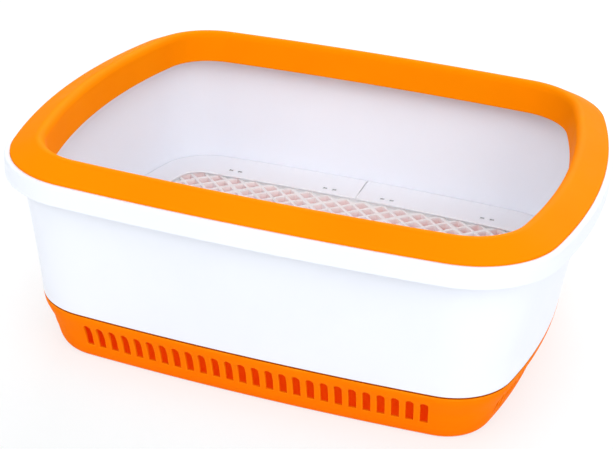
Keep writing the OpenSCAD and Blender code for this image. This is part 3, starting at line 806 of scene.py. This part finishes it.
class Paint:
    # The node tree of one material or world, and the single method that adds nodes to it
    def __init__(self, owner):
        owner.use_nodes = True
        self.tree = owner.node_tree
        self.tree.nodes.clear()

    def add(self, kind, settings=None, values=None):
        node = self.tree.nodes.new(kind)
        for key, value in (settings or {}).items():
            setattr(node, key, value)
        for key, value in (values or {}).items():
            if isinstance(value, Wire):
                self.tree.links.new(value.socket, node.inputs[key])
            else:
                node.inputs[key].default_value = value
        return Placed(self, node)

    def noise(self, where, scale, detail, roughness):
        return self.add("ShaderNodeTexNoise", {"noise_dimensions": "3D"}, {
            "Vector": where, "Scale": scale, "Detail": detail, "Roughness": roughness})["Fac"]

    def range(self, value, low, high, toLow=0.0, toHigh=1.0):
        return self.add("ShaderNodeMapRange", {"clamp": True}, {
            "Value": value, "From Min": low, "From Max": high, "To Min": toLow, "To Max": toHigh})["Result"]

    def mix(self, share, first, second):
        # The colour mix's own inputs are 0, 6 and 7 among those of all its types, and its output is 2
        return self.add("ShaderNodeMix", {"data_type": "RGBA"}, {0: share, 6: first, 7: second})[2]


# Colour, deep and edge are the plain tone, the tone of the darker clouds and the lighter tone of edges,
# painted as rubbing wear and as an edge highlight
orangeFinish = {
    "roughness": 0.55, "spread": 0.06, "grain": 0.00004, "scuffs": 0.10, "shine": 0.012,
    "tint": (1.0, 0.35, 0.02), "glow": (0.0, 0.0, 0.0),
}
whiteFinish = {
    "roughness": 0.48, "spread": 0.06, "grain": 0.00003, "scuffs": 0.08, "shine": 0.30,
    "tint": (1.0, 1.0, 1.0), "glow": (0.0, 0.0, 0.0),
}
plastics = {
    "orange": {
        "colour": (1.0, 0.212, 0.0008), "deep": (0.98, 0.197, 0.0006), "edge": (1.0, 0.26, 0.004),
        **orangeFinish,
    },
    # The base's inner faces are a deeper red and glow a weak red, both painted light in place of light that
    # bounces about inside it
    "insideOrange": {
        "colour": (1.0, 0.17, 0.0008), "deep": (0.97, 0.155, 0.0006), "edge": (1.0, 0.25, 0.004),
        **orangeFinish, "glow": (0.2, 0.0, 0.0),
    },
    # The guard's orange is the base's orange made lighter and yellower, painted light for the stronger light
    # that falls on the guard's slopes
    "guardLitOrange": {
        "colour": (1.0, 0.268, 0.0008), "deep": (0.98, 0.252, 0.0006), "edge": (1.0, 0.31, 0.004),
        **orangeFinish,
    },
    "white": {
        "colour": (0.865, 0.905, 0.98), "deep": (0.845, 0.885, 0.965), "edge": (0.91, 0.94, 0.99),
        **whiteFinish,
    },
    "latticeWhite": {
        "colour": (0.86, 0.86, 0.88), "deep": (0.80, 0.80, 0.83), "edge": (0.91, 0.91, 0.92),
        **whiteFinish, "roughness": 0.50, "scuffs": 0.10,
    },
    "frameWhite": {
        "colour": (0.89, 0.92, 0.985), "deep": (0.87, 0.90, 0.96), "edge": (0.93, 0.95, 0.99),
        **whiteFinish, "roughness": 0.45,
    },
}
# The surface that all the plastics share. A noise is its scale per metre, detail and roughness. A band is the
# stretch of a noise that runs from 0 to 1, or from its third to its fourth number
moulding = {
    "cloud": (9.0, 3.0, 0.5), "fine": (900.0, 2.0, 0.5), "patches": (45.0, 4.0, 0.65),
    "streaks": (1.0, 3.0, 0.6), "streakScale": (40.0, 260.0, 90.0), "streakTurn": (0.2, 0.1, 0.5),
    "cloudBand": (0.35, 0.65), "streakBand": (0.60, 0.72), "scuffBand": (0.45, 0.62),
    "roughBand": (0.3, 0.7), "rubBand": (0.38, 0.6, 0.25, 0.9), "grooveShade": 0.5, "rubSmooth": 0.05,
    "patchHeight": 0.6, "scuffHeight": 0.4, "bump": 0.6, "refraction": 1.49,
}


def plastic(name):
    # Two tones in slow clouds, lighter where the wear and painted light is above 0, as rubbing wear and a
    # painted edge highlight, and darker where it is below, as painted shade in grooves and windows. Roughness
    # varies in patches, with fine scuffs, and the bump is grain, patches and scuffs
    p, m = plastics[name], moulding
    material = bpy.data.materials.new(name)
    paint = Paint(material)
    where = paint.add("ShaderNodeTexCoord")["Object"]
    wornAndPaintedLight = paint.add("ShaderNodeAttribute", {"attribute_name": "wear"})["Fac"]
    cloud, fine, patches = (paint.noise(where, *m[k]) for k in ("cloud", "fine", "patches"))
    stretched = paint.add("ShaderNodeMapping", {}, {
        "Vector": where, "Scale": m["streakScale"], "Rotation": m["streakTurn"]})["Vector"]
    streaks = paint.range(paint.noise(stretched, *m["streaks"]), *m["streakBand"])
    scuffs = streaks * paint.range(patches, *m["scuffBand"])
    deep, colour, edge = (p[k] + (1.0,) for k in ("deep", "colour", "edge"))
    # Painted shade for grooves and windows: the deep tone at the groove shade's share
    groove = tuple(m["grooveShade"] * v for v in p["deep"]) + (1.0,)
    body = paint.mix(paint.range(cloud, *m["cloudBand"]), deep, colour)
    # Edges are painted lighter where the wear and painted light is above 0, and darker where it is below 0
    rubbedAndLit = wornAndPaintedLight * paint.range(patches, *m["rubBand"])
    tone = paint.mix(wornAndPaintedLight * -1.0, paint.mix(rubbedAndLit, body, edge), groove)
    rough = (paint.range(patches, *m["roughBand"], p["roughness"] - p["spread"], p["roughness"] + p["spread"])
             + scuffs * p["scuffs"] - wornAndPaintedLight * m["rubSmooth"])
    bump = paint.add("ShaderNodeBump", {}, {
        "Height": fine + patches * m["patchHeight"] + scuffs * m["scuffHeight"],
        "Distance": p["grain"], "Strength": m["bump"]})["Normal"]
    surface = paint.add("ShaderNodeBsdfPrincipled", {}, {
        "Base Color": tone, "Roughness": rough, "Normal": bump, "IOR": m["refraction"],
        "Specular IOR Level": p["shine"], "Specular Tint": p["tint"] + (1.0,),
        "Emission Color": p["glow"] + (1.0,), "Emission Strength": 1.0 if any(p["glow"]) else 0.0})["BSDF"]
    paint.add("ShaderNodeOutputMaterial", {}, {"Surface": surface})
    return material


# The camera's lens and sensor in millimetres, its place in metres and its turns in degrees
view = {
    "lens": 77.58, "sensor": 36.0, "place": (0.3249, -1.0822, 0.6782),
    "yaw": -17.20, "pitch": 27.42, "roll": 3.14, "far": 50.0,
}


def makeCamera():
    # Yaw turns the view from +Y, pitch tips it down and roll turns it about its own line
    yaw, pitch, roll = (math.radians(view[k]) for k in ("yaw", "pitch", "roll"))
    ahead = Vector((math.sin(yaw) * math.cos(pitch), math.cos(yaw) * math.cos(pitch), -math.sin(pitch)))
    level = Vector((math.cos(yaw), -math.sin(yaw), 0))
    upright = level.cross(ahead)
    right = math.cos(roll) * level + math.sin(roll) * upright
    up = math.cos(roll) * upright - math.sin(roll) * level
    camera = bpy.data.cameras.new("camera")
    camera.lens, camera.sensor_width = view["lens"], view["sensor"]
    camera.clip_end = view["far"]
    holder = bpy.data.objects.new("camera", camera)
    turn = Matrix((right, up, -ahead)).transposed().to_4x4()
    holder.matrix_world = Matrix.Translation(view["place"]) @ turn
    bpy.context.scene.collection.objects.link(holder)
    bpy.context.scene.camera = holder


# The floor's colour on the rays that carry light and on those that are seen, the share of white that the
# seen floor gives off, the world's strength on both kinds of ray, and each sun's direction and strength
studio = {
    "floorHalf": 6.0, "floorLit": (0.92, 0.92, 0.92, 1), "floorSeen": (0.93, 0.97, 0.985, 1),
    "floorGlow": 0.7, "white": (1, 1, 1, 1), "worldLight": 0.44, "worldSeen": 1.0, "spread": 55.0,
    "suns": {
        "backSun": ((0, 1, 0.7), 1.95), "rightSun": ((0.7, -0.7, 0.9), 0.95),
        "leftSun": ((-0.7, -0.7, 0.9), 0.62), "frontSun": ((0, -1, 0.7), 0.36),
        "sideSun": ((0.8, -0.6, 0.25), 0.38),
    },
}


def seenDirectly(paint):
    # 1 on camera, mirror and glass rays, and 0 on the rays that carry light
    path = paint.add("ShaderNodeLightPath")
    seen = path["Is Camera Ray"]
    for ray in ("Is Glossy Ray", "Is Transmission Ray"):
        seen = paint.add("ShaderNodeMath", {"operation": "MAXIMUM"}, {0: seen, 1: path[ray]})["Value"]
    return seen


def makeStudio():
    # A flat square floor, a plain world and broad suns
    s, half = studio, studio["floorHalf"]
    mesh = bpy.data.meshes.new("studioFloor")
    corners = [(-half, -half, 0), (half, -half, 0), (half, half, 0), (-half, half, 0)]
    mesh.from_pydata(corners, [], [(0, 1, 2, 3)])
    floor = bpy.data.objects.new("studioFloor", mesh)
    bpy.context.scene.collection.objects.link(floor)
    floor.data.materials.append(bpy.data.materials.new("studioFloor"))
    paint = Paint(floor.data.materials[0])
    seen = seenDirectly(paint)
    tone = paint.mix(seen, s["floorLit"], s["floorSeen"])
    matt = paint.add("ShaderNodeBsdfDiffuse", {}, {"Color": tone})["BSDF"]
    glow = paint.add("ShaderNodeEmission", {}, {"Color": s["white"], "Strength": 1.0})["Emission"]
    surface = paint.add("ShaderNodeMixShader", {}, {0: seen * s["floorGlow"], 1: matt, 2: glow})["Shader"]
    paint.add("ShaderNodeOutputMaterial", {}, {"Surface": surface})

    world = bpy.data.worlds.new("studio")
    bpy.context.scene.world = world
    sky = Paint(world)
    strength = seenDirectly(sky) * (s["worldSeen"] - s["worldLight"]) + s["worldLight"]
    back = sky.add("ShaderNodeBackground", {}, {"Color": s["white"], "Strength": strength})["Background"]
    sky.add("ShaderNodeOutputWorld", {}, {"Surface": back})

    for name, (place, strength) in s["suns"].items():
        lamp = bpy.data.lights.new(name, "SUN")
        lamp.energy, lamp.angle = strength, math.radians(s["spread"])
        holder = bpy.data.objects.new(name, lamp)
        holder.rotation_euler = Vector(place).to_track_quat("Z", "Y").to_euler()
        bpy.context.scene.collection.objects.link(holder)


makeCamera()
makeStudio()
print("camera and studio ready")
finishes = {
    makeBaseTray(): "orange",
    makeTub(): "white",
    makeRimGuard(): "guardLitOrange",
    makeLattice(): "latticeWhite",
    makeClampHalf("clampFrameRight", "frame_right", "clamp_frame_right", 1): "frameWhite",
    makeClampHalf("clampFrameLeft", "frame_left", "clamp_frame_left", -1): "frameWhite",
}
paints = {name: plastic(name) for name in plastics}
for piece, name in finishes.items():
    piece.data.materials.append(paints[name])
    # The base's inner faces take the deeper red, glowing orange that is painted light for light bouncing
    # inside it
    if name == "orange":
        piece.data.materials.append(paints["insideOrange"])
print("pieces painted")

bpy.context.view_layer.update()
bpy.context.scene.view_settings.view_transform = "Standard"
